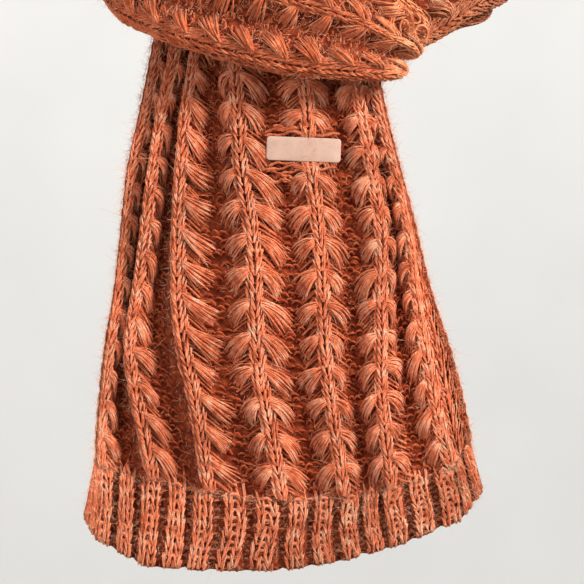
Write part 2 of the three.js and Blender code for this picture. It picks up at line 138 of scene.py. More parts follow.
# Hidden second tail: height, left and right edge, depth, gather depth and forward reach.
UNDER_TOP = -58.5
UNDER_END = -298
UNDER_ROWS = [
    (UNDER_TOP, -32, 54, -67, 1.4, 23.3),
    (-65, -36, 37.5, -67.5, 2.4, 2),
    (-82, -40, 30, -70, 3.2, 0),
    (-120, -48, 36, -77, 4, 0),
    (-160, -57, 45, -84, 4.2, 0),
    (-220, -66, 56, -92, 4.4, 0),
    (UNDER_END, -76, 66, -103, 4, 0),
]
UNDER_RIBS = 200
UNDER_GATHERS = 8
FORWARD_POWER = 14

LABEL_WIDTH = 41.5
LABEL_HEIGHT = 13.4
LABEL_X = 0.4
LABEL_Z = -105
LABEL_TURN = 0.04


def mix(a, b, t):
    return a + (b - a) * t


def clamp01(t):
    return np.clip(t, 0, 1)


def unit(v):
    return v / np.maximum(np.linalg.norm(v, axis=-1, keepdims=True), 1e-9)


def smooth_table(places, values, step, reach):
    """A table resampled evenly and softened, so that no kink shows between its rows."""
    grid = np.arange(places[0], places[-1] + step / 2, step)
    dense = np.stack([np.interp(grid, places, values[:, k]) for k in range(values.shape[1])], 1)
    radius = int(3 * reach / step)
    kernel = np.exp(-0.5 * (np.arange(-radius, radius + 1) * step / reach) ** 2)
    kernel /= kernel.sum()
    padded = np.pad(dense, ((radius, radius), (0, 0)), mode="reflect", reflect_type="odd")
    soft = [np.convolve(padded[:, k], kernel, mode="valid") for k in range(dense.shape[1])]
    return grid, np.stack(soft, 1)


def grid_quads(number):
    """The quads of grids of corner numbers, whose last two axes are the rows and columns."""
    here, after = number[..., :-1, :], number[..., 1:, :]
    return np.stack([here[..., :-1], here[..., 1:], after[..., 1:], after[..., :-1]], -1).reshape(-1, 4)


def closed(number):
    """The grid with its first column again at the end."""
    return np.concatenate([number, number[..., :1]], -1)


class Patch:
    """A surface on an even grid of two parameters, with its outward normals, in millimetres."""

    def __init__(self, us, vs, points, normals):
        self.us, self.vs, self.points, self.normals = us, vs, points, normals

    def _blend(self, grid, u, v):
        fu = np.clip((u - self.us[0]) / (self.us[1] - self.us[0]), 0, len(self.us) - 1.001)
        fv = np.clip((v - self.vs[0]) / (self.vs[1] - self.vs[0]), 0, len(self.vs) - 1.001)
        i, j = fu.astype(int), fv.astype(int)
        tu, tv = (fu - i)[..., None], (fv - j)[..., None]
        low = mix(grid[j, i], grid[j, i + 1], tu)
        high = mix(grid[j + 1, i], grid[j + 1, i + 1], tu)
        return mix(low, high, tv)

    def normal(self, u, v):
        return unit(self._blend(self.normals, u, v))

    def at(self, u, v, rise):
        return self._blend(self.points, u, v) + self.normal(u, v) * np.asarray(rise)[..., None]


def hanging_normals(points):
    """Normals of a hanging cloth that all face forward, evened out a little."""
    normals = unit(np.cross(np.gradient(points, axis=1), np.gradient(points, axis=0)))
    flip = np.sign((normals * FORWARD).sum(-1, keepdims=True))
    return unit(normals * np.where(flip == 0, 1, flip) + FORWARD * GENTLE)


# Front tail

ROW_Z = np.array([row[0] for row in TAIL_ROWS], float)
ROW_VALUES = np.array([row[1] + [row[2], row[3]] for row in TAIL_ROWS], float)
TAIL_Z, TAIL_VALUES = smooth_table(-ROW_Z, ROW_VALUES, 1.0, 7.0)


def tail_value(z, column):
    return np.interp(-z, TAIL_Z, TAIL_VALUES[:, column])


def tail_line(z, across):
    xs = np.stack([tail_value(z, k) for k in range(LINES)])
    k = np.minimum(across.astype(int), LINES - 2)
    here = np.take_along_axis(xs, k[None], 0)[0]
    after = np.take_along_axis(xs, k[None] + 1, 0)[0]
    return mix(here, after, across - k), after - here, across - k


def hem_value(across, values):
    return np.interp(across, np.arange(LINES), values)


def rib_gutter(across):
    """How deep a place lies between two ribs of the hem, from 0 to 1."""
    beside = np.abs((across / (LINES - 1)) * RIB_COUNT % 1 - 0.5) * 2
    share = clamp01((beside - 0.6) / 0.3)
    return share * share * (3 - 2 * share)


def tail_points(across, down):
    top_x = tail_line(np.full_like(across, -53.0), across)[0]
    lip_share = clamp01((LIP_RIGHT[0] - top_x) / (LIP_RIGHT[0] - LIP_LEFT[0]))
    top_z = mix(LIP_RIGHT[1], LIP_LEFT[1], lip_share) - SEAM_GAP
    body_z = mix(top_z, hem_value(across, HEM_TOP), np.minimum(1, down))
    line_x, spacing, part = tail_line(body_z, across)
    share = clamp01(down - 1)
    x = mix(line_x, hem_value(across, HEM_X), share)
    z = mix(body_z, hem_value(across, HEM_Z), share)
    scallop = (1.2 + 0.7 * np.sin(across * 5)) * rib_gutter(across) - 0.5
    z = z + scallop * clamp01((share - 0.7) / 0.3) ** 2
    left, right = tail_value(z, 0), tail_value(z, LINES - 1)
    roll_left = tail_value(z, LINES) * clamp01(1 - (x - left) / LEFT_ROLL_WIDTH) ** 2
    roll_right = tail_value(z, LINES + 1) * clamp01(1 - (right - x) / RIGHT_ROLL_WIDTH) ** 2
    tight = clamp01((COLUMN_PITCH - spacing) / 25)
    inner = (across >= 1) & (across <= LINES - 2)
    groove = inner * (1.4 + 4.6 * tight) * np.sin(math.pi * part) ** 2 * (1 - share)
    y = TAIL_Y - TAIL_LEAN * np.maximum(0, LEAN_TOP - z) + roll_left + roll_right + groove
    return np.stack([x, y, z], -1)


def make_tail_patch():
    us = np.linspace(0, LINES - 1, (LINES - 1) * 30 + 1)
    vs = np.linspace(0, 2, 501)
    across, down = np.meshgrid(us, vs)
    points = tail_points(across, down)
    return Patch(us, vs, points, hanging_normals(points))


# Wound strip


def make_strand_frames():
    """Centre, upward, outward, height and section sizes of the strip at every millimetre."""
    table = np.array([[*low, *high, *sizes] for low, high, *sizes in STRAND_ROWS], float)
    stations = np.arange(0, len(table) - 1 + 1e-9, 0.01)
    k = np.minimum(stations.astype(int), len(table) - 2)
    t = (stations - k)[:, None]
    last = len(table) - 1
    p0, p1, p2, p3 = (table[np.clip(k + n, 0, last)] for n in (-1, 0, 1, 2))
    squared = 2 * p0 - 5 * p1 + 4 * p2 - p3
    cubed = 3 * p1 - p0 - 3 * p2 + p3
    values = (2 * p1 + (p2 - p0) * t + squared * t**2 + cubed * t**3) / 2
    centre = (values[:, :3] + values[:, 3:6]) / 2
    lengths = np.concatenate([[0], np.cumsum(np.linalg.norm(np.diff(centre, axis=0), axis=1))])
    seams = np.interp([RIGHT_SEAM, LEFT_SEAM], stations, lengths)
    even = np.linspace(0, lengths[-1], int(lengths[-1]) + 1)
    rows = np.stack([np.interp(even, lengths, values[:, n]) for n in range(values.shape[1])], 1)
    low, high = rows[:, :3], rows[:, 3:6]
    centre = (low + high) / 2
    height = np.linalg.norm(high - low, axis=1)
    upward = (high - low) / height[:, None]
    along = np.gradient(centre, axis=0)
    outward = unit(np.cross(along, upward))
    return even, centre, upward, outward, height, np.maximum(0, rows[:, 6:]), seams


def section_points(u, height, thick, crown, crease, lip):
    """A section of the strip folded in three: places up and out, and the normals there."""
    depth = thick - WALL
    low_radius, top_radius = depth / 4, depth / 2
    fold_low = -height / 2 + low_radius
    fold_high = height / 2 - top_radius
    low_angle = math.pi * (1 + (u - MIDDLE_END) / (LOW_FOLD_END - MIDDLE_END))
    top_angle = math.pi * (u - FRONT_END) / (TOP_FOLD_END - FRONT_END)
    front_share = (u - LOW_FOLD_END) / (FRONT_END - LOW_FOLD_END)
    back_share = (u - TOP_FOLD_END) / (1 - TOP_FOLD_END)
    places = [u < part_end for part_end in (MIDDLE_END, LOW_FOLD_END, FRONT_END, TOP_FOLD_END)]

    def pick(*values):
        """Values of the middle layer, the low fold, the front, the top fold and the back."""
        return np.select(places, [value + 0 * u for value in values[:-1]], values[-1])

    up = pick(
        mix(fold_high - MIDDLE_DROP, fold_low, u / MIDDLE_END),
        fold_low + low_radius * np.sin(low_angle),
        mix(fold_low, fold_high, front_share),
        fold_high + top_radius * np.sin(top_angle),
        mix(fold_high, 2 - height / 2 - lip, back_share),
    )
    low_out, top_out = np.cos(low_angle), np.cos(top_angle)
    out = pick(0, low_radius * (1 + low_out), top_radius, top_radius * top_out, -top_radius)
    n_up = pick(0, np.sin(low_angle), 0, np.sin(top_angle), 0)
    n_out = pick(-1, low_out, 1, top_out, -1)
    dent = pick(0.5, 0.75 + low_out / 4, 1, 0, 0)
    place = (up - fold_low) / (fold_high - fold_low) - CREASE_PLACE
    raised = crown * (1 - (2 * up / height) ** 2)
    sunk = crease * dent * np.exp(-((place / CREASE_SPREAD) ** 2))
    return up, out + raised - sunk, n_up, n_out


def make_strand_patch():
    lengths, centre, upward, outward, height, sizes, seams = make_strand_frames()
    us = np.linspace(0, 1, 241)
    u, _ = np.meshgrid(us, lengths)
    columns = [values[:, None] for values in (height, *sizes.T)]
    up, out, n_up, n_out = section_points(u, *columns)
    points = centre[:, None] + upward[:, None] * up[..., None] + outward[:, None] * out[..., None]
    normals = upward[:, None] * n_up[..., None] + outward[:, None] * n_out[..., None]
    return Patch(us, lengths, points, unit(normals)), seams


# Second tail


def make_under_patch():
    table = np.array(UNDER_ROWS, float)
    us = np.linspace(0, 1, 121)
    vs = np.linspace(0, UNDER_TOP - UNDER_END, 241)
    u, v = np.meshgrid(us, vs)
    z = UNDER_TOP - v
    rows = (np.interp(-z, -table[:, 0], table[:, n]) for n in range(1, 6))
    left, right, depth, gather, forward = rows
    wave = np.cos(u * UNDER_GATHERS * 2 * math.pi) * gather
    y = depth + wave - forward * u**FORWARD_POWER
    points = np.stack([mix(left, right, u), y, z], -1)
    return Patch(us, vs, points, hanging_normals(points))


# Meshes


def make_object(name, points, faces, uvs, material):
    """A mesh from points in millimetres, faces as rows of corner numbers and a UV for each corner."""
    faces = np.asarray(faces, np.int32)
    corners = faces.shape[1]
    mesh = bpy.data.meshes.new(name)
    mesh.vertices.add(len(points))
    mesh.vertices.foreach_set("co", (np.asarray(points, np.float32) * MM).ravel())
    mesh.loops.add(faces.size)
    mesh.loops.foreach_set("vertex_index", faces.ravel())
    mesh.polygons.add(len(faces))
    mesh.polygons.foreach_set("loop_start", np.arange(len(faces), dtype=np.int32) * corners)
    mesh.polygons.foreach_set("use_smooth", np.full(len(faces), True))
    if uvs is not None:
        layer = mesh.uv_layers.new(name="UVMap")
        layer.data.foreach_set("uv", np.asarray(uvs, np.float32).ravel())
    mesh.update(calc_edges=True)
    mesh.validate()
    mesh.materials.append(material)
    thing = bpy.data.objects.new(name, mesh)
    bpy.context.scene.collection.objects.link(thing)
    return thing


class Yarn:
    """Collects yarn tubes for one mesh."""

    def __init__(self):
        self.points, self.faces, self.uvs, self.count = [], [], [], 0

    def add(self, paths, facing, radius, sides):
        """Adds tubes along paths (strands by points by 3). facing is the surface's normal there."""
        strands, steps = paths.shape[:2]
        radius = np.broadcast_to(np.asarray(radius, float), (strands, steps))
        along = unit(np.gradient(paths, axis=1))
        side = unit(np.cross(along, facing))
        top = np.cross(side, along)
        angle = np.arange(sides) * 2 * math.pi / sides
        ring = (
            paths[:, :, None]
            + radius[:, :, None, None] * side[:, :, None] * np.cos(angle)[:, None]
            + radius[:, :, None, None] * top[:, :, None] * np.sin(angle)[:, None]
        )
        number = np.arange(strands * steps * sides).reshape(strands, steps, sides) + self.count
        strides = np.linalg.norm(np.diff(paths, axis=1, prepend=paths[:, :1]), axis=-1)
        start = rng.uniform(0, 400, (strands, 1))
        along_uv = (np.cumsum(strides, axis=1) + start)[:, :, None] + np.zeros(sides + 1)
        around_uv = np.zeros((strands, steps, 1)) + np.arange(sides + 1) / sides * 4
        around_uv = around_uv + rng.uniform(0, 50, (strands, 1, 1))
        corner = np.stack([along_uv, around_uv], -1)
        here, after = corner[:, :-1], corner[:, 1:]
        uvs = [here[:, :, :-1], here[:, :, 1:], after[:, :, 1:], after[:, :, :-1]]
        self.points.append(ring.reshape(-1, 3))
        self.faces.append(grid_quads(closed(number)))
        self.uvs.append(np.stack(uvs, -2).reshape(-1, 2))
        self.count += strands * steps * sides

    def add_plied(self, paths, facing, radius, plies, spread, turn, sides):
        """Each path as a few thin plies that wind round it."""
        along = unit(np.gradient(paths, axis=1))
        side = unit(np.cross(along, facing))
        top = np.cross(side, along)
        steps = np.linspace(0, 1, paths.shape[1])
        first = rng.uniform(0, 2 * math.pi, (paths.shape[0], 1))
        for ply in range(plies):
            angle = (first + 2 * math.pi * ply / plies + turn * steps)[..., None]
            apart = spread * (np.cos(angle) * side + np.sin(angle) * top)
            self.add(paths + apart, facing, radius, sides)

    def build(self, name, material):
        quads = np.concatenate(self.faces)
        return make_object(name, np.concatenate(self.points), quads, np.concatenate(self.uvs), material)


SWAY_SEED = 3
UNEVEN_SEED = 8
RIB_SEED = 21


def wobble(a, b, seed):
    """A slow uneven wave of two values, between about -1 and 1."""
    local = np.random.default_rng(seed)
    total = 0
    for _ in range(4):
        fa, fb = local.uniform(0.2, 1.0, 2)
        total = total + np.sin(a * fa + b * fb + local.uniform(0, 6.28))
    return total / 2.6


class Column:
    """A stitch column: turns distances across and along it into a patch's two parameters."""

    def __init__(self, patch, u, v_start, v_step, before, after, ridge, fade=0.0, hold=None, face=1):
        self.patch, self.u, self.v_start, self.v_step = patch, u, v_start, v_step
        self.before, self.after = before, after
        self.ridge, self.fade, self.hold, self.face = ridge, fade, hold, face

    def place(self, across, along):
        shifted = across + 0.8 * wobble(along / 14, self.u * 5, SWAY_SEED)
        u = self.u + np.where(shifted < 0, shifted * self.before, shifted * self.after)
        return u, self.v_start + along * self.v_step

    def paths(self, across, along, rise):
        u, v = self.place(across, along)
        uneven = 1 + 0.16 * wobble(along / 9, self.u * 7 + across / 12, UNEVEN_SEED)
        rise = rise * uneven + self.ridge * uneven * np.exp(-((across / RIDGE_REACH) ** 2))
        if self.fade:
            rise = rise * clamp01(END_SHARE + along / self.fade)
        points = self.patch.at(u, v, self.face * (rise + WALL / 2))
        if self.hold:
            points = self.hold(points)
        return points, self.face * self.patch.normal(u, v)


def taper(t, least, edge, power=1):
    """Thickness along a strand: 1 in its middle, near to least at its ends."""
    return least + (1 - least) * np.sin(math.pi * np.clip(t, edge, 1 - edge)) ** power


def strokes(count, steps):
    """Numbers of strands as a column and places along them, from 0 to 1, as a row."""
    return np.arange(count)[:, None], np.linspace(0, 1, steps)[None]


# Lines of a chain: where its slanted stitches start and end beside the middle, and how high they lie.
FULL_CHAIN = ((3.9, 2.5, 0.5), (2.1, 0.4, 1.2))
THIN_CHAIN = ((2.1, 0.4, 0.8),)
EDGE_CHAIN = ((6.6, 5.3, -0.4), (4.9, 3.6, -0.1), (3.3, 2.0, 0.1), (1.7, 0.3, 0.2))


# The chains of the strip's full columns, and those on its underside: their places across it, on its
# outer (1) or inner (-1) face.
STRIP_CHAINS = [EDGE_CHAIN, FULL_CHAIN, THIN_CHAIN]
UNDERSIDE = [(0.2, 1, EDGE_CHAIN), (0.978, -1, FULL_CHAIN)]


def add_chain(yarn, column, length, plies=2, sides=4, steps=5, lines=FULL_CHAIN):
    """The raised chain of V stitches down the middle of a column, over a thicker core."""
    count = int(length / STITCH_PITCH)
    steps_along = np.linspace(0, length, int(length / 3.4))[None]
    for place in (-1.5, 1.5):
        paths, facing = column.paths(place + 0 * steps_along, steps_along, -0.7 + 0 * steps_along)
        yarn.add(paths, facing, 1.1, 5)
    for outer, inner, high in lines:
        for side in (-1, 1):
            n, t = strokes(count, steps)
            loose = rng.normal(0, 0.28, (count, 1))
            across = side * (mix(outer, inner, t) + loose)
            along = n * STITCH_PITCH + 5.6 * t - 0.8 + rng.normal(0, 0.35, (count, 1)) - 0.3 * outer
            rise = high + 0.9 * np.sin(math.pi * t) ** 0.8 + rng.normal(0, 0.22, (count, 1))
            paths, facing = column.paths(across, along, rise)
            yarn.add_plied(paths, facing, 0.47 * taper(t, 0.66, 0.03, 0.5), plies, 0.4, 2.4, sides)


# Layers of a fan: strands, how deep they lie, their thickness, unevenness, points and sides.
# A layer with no sides is of loose flat fibres.
FAN_LAYERS = [(9, 0.0, 0.47, 1.3, 7, 4), (7, 1.2, 0.5, 1.2, 5, 3), (24, 0.5, 0.1, 3.6, 6, 0)]
STRIP_FAN_LAYERS = [(11, 0.0, 0.52, 1.6, 6, 4), (8, 1.1, 0.6, 1.2, 5, 3), (12, 0.4, 0.1, 3.4, 5, 0)]
PLAIN_FAN_LAYERS = [(8, 0.0, 0.65, 1.0, 5, 3)]


# Headings of a fan's first and last strand in degrees below level, and how much each of them bends.
LEAF_FAN = (4, 46, 50, 12)
STRIP_FAN = (10, 44, 34, 10)
HOOKED_FAN = (22, 60, -4, -34)


def add_fans(yarn, hair, column, length, sizes, layers=FAN_LAYERS, pitch=FAN_PITCH, form=LEAF_FAN):
    """Fans of fine yarn that spring from the chain, puff out and tuck down into the grooves."""
    count = int(length / pitch)
    for side, size in sizes.items():
        lean = rng.normal(0, 5, (count, 1))
        swell = 1 + rng.normal(0, 0.12, (count, 1))
        droop = rng.normal(0, 5, (count, 1))
        for strands, depth, radius, loose, steps, sides in layers:
            n, t = strokes(count * strands, steps)
            fan = n[:, 0] // strands
            share = (n % strands) / (strands - 1)
            jitter = rng.normal(0, loose, (len(n), 4))
            first = np.radians(mix(form[0], form[1], share) + lean[fan] + 2.4 * jitter[:, :1])
            bend = np.radians(mix(form[2], form[3], share) + droop[fan] + 3 * jitter[:, 1:2])
            bend = np.where(np.abs(bend) < 0.05, 0.05, bend)
            reach = size * (FAN_REACH - 1.2 * share + 0.4 * jitter[:, 2:3]) * swell[fan]
            start = fan[:, None] * pitch + 2.6 * share + 0.3 * jitter[:, 3:4]
            across = side * (2.5 + reach * (np.sin(first + bend * t) - np.sin(first)) / bend)
            along = start + reach * (np.cos(first) - np.cos(first + bend * t)) / bend
            puff = np.sin(math.pi * t**0.8)
            cushion = np.sin(math.pi * clamp01(0.12 + 0.8 * share))
            rise = 1.0 - depth + 1.9 * puff + 1.1 * cushion * puff - 3.9 * t**4
            rise = rise * swell[fan] + 0.3 * jitter[:, 1:2] + 0.25 * np.sin(7 * t + 6 * jitter[:, 2:3])
            paths, facing = column.paths(across, along, rise)
            thickness = radius * taper(t, 0.7, 0.06)
            if sides:
                yarn.add(paths, facing, thickness, sides)
            else:
                hair.add_paths(paths, facing, 2 * thickness)


def add_flanks(yarn, column, length, sizes, pitch=2.6, sides=4):
    """Low slanted strands that fill the sides of a column between its fans."""
    count = int(length / pitch)
    for side, size in sizes.items():
        n, t = strokes(count, 4)
        loose = rng.normal(0, 1, (count, 3))
        across = side * (1.5 + size * (9.5 + loose[:, :1]) * t)
        along = n * pitch + 7 * t**1.2 + 0.7 * loose[:, 1:2]
        rise = -0.2 - 1.7 * t + 0.5 * loose[:, 2:] * t
        paths, facing = column.paths(across, along, rise)
        yarn.add(paths, facing, 0.62 + 0 * t, sides)


def add_purl(yarn, column, length, offsets, sides=4):
    """Small sideways bumps in the grooves between columns."""
    count = int(length / STITCH_PITCH)
    for offset in offsets:
        n, t = strokes(count, 4)
        across = offset + rng.uniform(3.6, 6.4, (count, 1)) * (t - 0.5) + rng.normal(0, 0.8, (count, 1))
        dip = np.sin(math.pi * t)
        bow = 1.5 + rng.normal(0, 0.5, (count, 1))
        along = n * STITCH_PITCH - bow * dip
        along = along + rng.normal(0, 0.9, (count, 1)) * t + rng.normal(0, 0.8, (count, 1))
        paths, facing = column.paths(across, along, 1.7 * dip - 2.2 + rng.normal(0, 0.35, (count, 1)))
        yarn.add(paths, facing, 0.7 * (0.6 + 0.4 * dip), sides)


def add_edge(yarn, column, length, offset):
    """The knots of the free edge."""
    count = int(length / STITCH_PITCH)
    n, t = strokes(count, 6)
    across = offset + 1.4 * np.sin(math.pi * t) * (1 - 2 * (n % 2)) + rng.normal(0, 0.25, (count, 1))
    along = n * STITCH_PITCH + 7.2 * t
    paths, facing = column.paths(across, along, 0.1 + 0.9 * np.sin(math.pi * t))
    yarn.add_plied(paths, facing, 0.5 + 0 * t, 2, 0.45, 2.2, 4)


class Hair:
    """Collects flat tapering fibres for one mesh."""

    def __init__(self):
        self.paths, self.sides, self.widths = [], [], []

    def add_paths(self, paths, facing, width):
        self.paths.append(paths)
        self.sides.append(unit(np.cross(unit(np.gradient(paths, axis=1)), facing)))
        self.widths.append(np.broadcast_to(width, paths.shape[:2])[..., None])

    def add(self, start, heading, curl, length, width):
        t = np.linspace(0, 1, 3)[None, :, None]
        bend = curl[:, None] * t**2 * 0.6
        paths = start[:, None] + length[:, None, None] * (heading[:, None] * t + bend)
        facing = unit(rng.normal(0, 1, start.shape))[:, None]
        self.add_paths(paths, facing, (1.1 - t[..., 0]) * width[:, None])

    def build(self, name, material):
        points, faces, total = [], [], 0
        for paths, side, width in zip(self.paths, self.sides, self.widths):
            count, steps = paths.shape[:2]
            half = side * width / 2
            points.append(np.stack([paths - half, paths + half], 2).reshape(-1, 3))
            faces.append(grid_quads(total + np.arange(count * steps * 2).reshape(count, steps, 2)))
            total += count * steps * 2
        points, faces = np.concatenate(points), np.concatenate(faces)
        flat = np.stack([points[:, 2], points[:, 0]], -1)
        return make_object(name, points, faces, flat[faces].reshape(-1, 2), material)


def add_fuzz(hair, points, facing, reach, thick):
    """Loose hairs that spring from points on the cloth."""
    count = len(points)
    heading = unit(unit(rng.normal(0, 1, (count, 3))) + facing * rng.uniform(0.0, 0.9, (count, 1)))
    curl = rng.normal(0, 0.95, (count, 3))
    length = reach * rng.lognormal(0, 0.4, count)
    hair.add(points, heading, curl, length, thick * rng.uniform(0.6, 1.4, count))


# Materials


class Tree:
    """A node material. An input of a node is either a value or an output to link from."""

    def __init__(self, name):
        self.material = bpy.data.materials.new(name)
        self.material.use_nodes = True
        self.place = self.add("TexCoord", {}).outputs

    def feed(self, node, inputs):
        for key, value in inputs.items():
            if isinstance(value, bpy.types.NodeSocket):
                self.material.node_tree.links.new(value, node.inputs[key])
            else:
                node.inputs[key].default_value = value

    def add(self, kind, inputs, **settings):
        node = self.material.node_tree.nodes.new("ShaderNode" + kind)
        for key, value in settings.items():
            setattr(node, key, value)
        self.feed(node, inputs)
        return node

    def math(self, operation, *inputs, **settings):
        return self.add("Math", dict(enumerate(inputs)), operation=operation, **settings).outputs[0]

    def average(self, a, b):
        return self.math("MULTIPLY", self.math("ADD", a, b), 0.5)

    def stretch(self, place, scale):
        return self.add("Mapping", {"Vector": place, "Scale": scale}).outputs["Vector"]

    def noise(self, place, scale, detail, roughness=0.6):
        inputs = {"Vector": place, "Scale": scale, "Detail": detail, "Roughness": roughness}
        return self.add("TexNoise", inputs).outputs["Fac"]

    def ramp(self, value, stops):
        node = self.add("ValToRGB", {"Fac": value})
        elements = node.color_ramp.elements
        while len(elements) < len(stops):
            elements.new(0.5)
        for element, (place, colour) in zip(elements, stops):
            element.position = place
            element.color = (*colour, 1)
        return node.outputs["Color"]

    def multiply(self, a, b):
        inputs = {"Factor": 1, "A": a, "B": b}
        return self.add("Mix", inputs, data_type="RGBA", blend_type="MULTIPLY").outputs["Result"]

    def bump(self, height, strength, distance, invert=False):
        inputs = {"Height": height, "Strength": strength, "Distance": distance}
        return self.add("Bump", inputs, invert=invert).outputs["Normal"]

    def finish(self, inputs):
        """The material, with the inputs of its surface."""
        self.feed(self.material.node_tree.nodes["Principled BSDF"], inputs)
        return self.material


def wool_material(name, dark, middle, light, sheen, along_x=None):
    """Brushed wool: fine fibres along the yarn, mottled from stitch to stitch.

    along_x holds stops of a further tint, from X = -0.1 m to X = 0.1 m, which the strip uses for
    painted light at the end of the band and painted shade on the right shoulder."""
    tree = Tree(name)
    fibres = tree.noise(tree.stretch(tree.place["UV"], (0.35, 2.2, 1)), 1.6, 4, 0.7)
    mottle = tree.noise(tree.place["Object"], 160, 3)
    patches = tree.noise(tree.place["Object"], 22, 2)
    colour = tree.ramp(tree.average(mottle, fibres), [(0.36, dark), (0.5, middle), (0.66, light)])
    wash = tree.ramp(patches, [(0.35, (0.86, 0.83, 0.8)), (0.65, (1.1, 1.08, 1.05))])
    colour = tree.multiply(colour, wash)
    if along_x:
        split = tree.add("SeparateXYZ", {"Vector": tree.place["Object"]})
        share = tree.math("MULTIPLY_ADD", split.outputs["X"], 5, 0.5, use_clamp=True)
        colour = tree.multiply(colour, tree.ramp(share, along_x))
    return tree.finish({
        "Base Color": colour,
        "Normal": tree.bump(fibres, 0.7, 0.0006),
        "Roughness": 0.92,
        "Specular IOR Level": 0.06,
        "Sheen Weight": sheen,
        "Sheen Roughness": 0.5,
        "Sheen Tint": (1.0, 0.78, 0.64, 1),
    })


def cloth_material(name, dark, light):
    """The ground of the knit, painted dark as the shade in the hollows between the yarns: rows of small
    loops, painted darker in between as shade.
    """
    tree = Tree(name)
    loops = tree.stretch(tree.place["UV"], (1 / 4.6, 1 / 4.5, 1))
    rows = tree.add("TexVoronoi", {"Vector": loops, "Scale": 1})
    mottle = tree.noise(tree.place["Object"], 420, 4, 0.7)
    hollow = tree.math("MULTIPLY_ADD", mottle, 0.6, rows.outputs["Distance"])
    return tree.finish({
        "Base Color": tree.ramp(hollow, [(0.35, light), (1.0, dark)]),
        "Normal": tree.bump(hollow, 1, 0.0022, invert=True),
        "Roughness": 0.95,
        "Specular IOR Level": 0.1,
        "Sheen Weight": 0.2,
        "Sheen Tint": (1.0, 0.7, 0.5, 1),
    })


def leather_material(name, dark, light):
    """Soft pale leather with a fine suede grain."""
    tree = Tree(name)
    grain = tree.noise(tree.place["Object"], 1500, 5, 0.7)
    cloud = tree.noise(tree.place["Object"], 90, 2)
    return tree.finish({
        "Base Color": tree.ramp(tree.average(cloud, grain), [(0.3, dark), (0.7, light)]),
        "Normal": tree.bump(grain, 0.35, 0.0002),
        "Roughness": 0.72,
        "Sheen Weight": 0.15,
    })


def stage_material(name, dark, light):
    tree = Tree(name)
    cloud = tree.noise(tree.place["Object"], 3, 2)
    return tree.finish({"Base Color": tree.ramp(cloud, [(0.3, dark), (0.7, light)]), "Roughness": 0.95})


# The strip is paler at the left. At the end of the band it is painted paler as painted light, and on
# the right shoulder painted deeper as painted shade.
# The strip's tones are the yarn's tones darkened, as painted shade.
SHADED_STRIP_TONES = (0.26, 0.033, 0.009), (0.54, 0.115, 0.04), (0.76, 0.27, 0.13)
LEFT_TINT = [(0.15, (1.22, 1.24, 1.33)), (0.3, (1, 1, 1))]
# Painted light: the end of the band is tinted paler.
BAND_LIGHT_TINT = LEFT_TINT + [(0.7, (1, 1, 1)), (0.77, (1.36, 2.15, 2.6))]
# Painted shade: the right shoulder is tinted darker.
BACK_SHADE_TINT = LEFT_TINT + [(0.78, (1, 1, 1)), (0.88, (0.7, 0.87, 0.98))]

YARN = wool_material("wool_yarn", (0.32, 0.044, 0.012), (0.75, 0.194, 0.082), (0.83, 0.55, 0.385), 0.3)
SHADED = wool_material("wool_shaded", *SHADED_STRIP_TONES, 0.22)
BAND = wool_material("wool_band", *SHADED_STRIP_TONES, 0.22, BAND_LIGHT_TINT)
BACK = wool_material("wool_back", *SHADED_STRIP_TONES, 0.22, BACK_SHADE_TINT)
# The purl in the grooves and the free edges of the tail: the yarn painted darker, as painted shade.
GROOVE_SHADE = wool_material("wool_groove_shade", (0.17, 0.018, 0.004), (0.37, 0.06, 0.017), (0.6, 0.145, 0.052), 0.12)
# The loose hairs are painted paler than the yarn, as painted highlight on the lit fuzz.
FUZZ = wool_material("wool_fuzz", (0.56, 0.14, 0.055), (0.79, 0.345, 0.185), (0.88, 0.64, 0.47), 0.5)
# The cloth under the yarn is painted much darker than the yarn, as painted shade in the hollows.
SHADED_GROUND = cloth_material("knit_ground_shade", (0.12, 0.012, 0.003), (0.34, 0.056, 0.016))
LEATHER = leather_material("label_leather", (0.38, 0.228, 0.172), (0.54, 0.362, 0.29))
STAGE = stage_material("stage_pale", (0.76, 0.755, 0.745), (0.8, 0.795, 0.785))


# Pieces

tail = make_tail_patch()
strand, (right_seam, left_seam) = make_strand_patch()
under = make_under_patch()
strand_end = strand.vs[-1]


def make_shell(name, patch, us, vs, outer_rise, material):
    """A closed wall on a patch, its outer face raised by outer_rise of the grid's two parameters."""
    u, v = np.meshgrid(us, vs)
    outer = patch.at(u, v, WALL / 2 + outer_rise(u, v))
    inner = patch.at(u, v, np.full(u.shape, -WALL / 2))
    rows, columns = u.shape
    points = np.concatenate([outer.reshape(-1, 3), inner.reshape(-1, 3)])
    front = np.arange(rows * columns).reshape(rows, columns)
    back = front + rows * columns
    rims = [(back[0], front[0]), (front[-1], back[-1])]
    rims += [(front[:, 0], back[:, 0]), (back[:, -1], front[:, -1])]
    faces = np.concatenate([grid_quads(np.asarray(grid)) for grid in (front, back.T, *rims)])
    width = np.linalg.norm(np.diff(outer, axis=1, prepend=outer[:, :1]), axis=-1).cumsum(1)
    drop = np.linalg.norm(np.diff(outer, axis=0, prepend=outer[:1]), axis=-1).cumsum(0)
    flat = np.stack([np.tile(width.ravel(), 2), np.tile(drop.ravel(), 2)], -1)
    volume = (points[faces[:, 0]] * np.cross(points[faces[:, 1]], points[faces[:, 2]])).sum()
    volume += (points[faces[:, 0]] * np.cross(points[faces[:, 2]], points[faces[:, 3]])).sum()
    if volume < 0:
        faces = faces[:, ::-1]
    return make_object(name, points, faces, flat[faces].reshape(-1, 2), material)


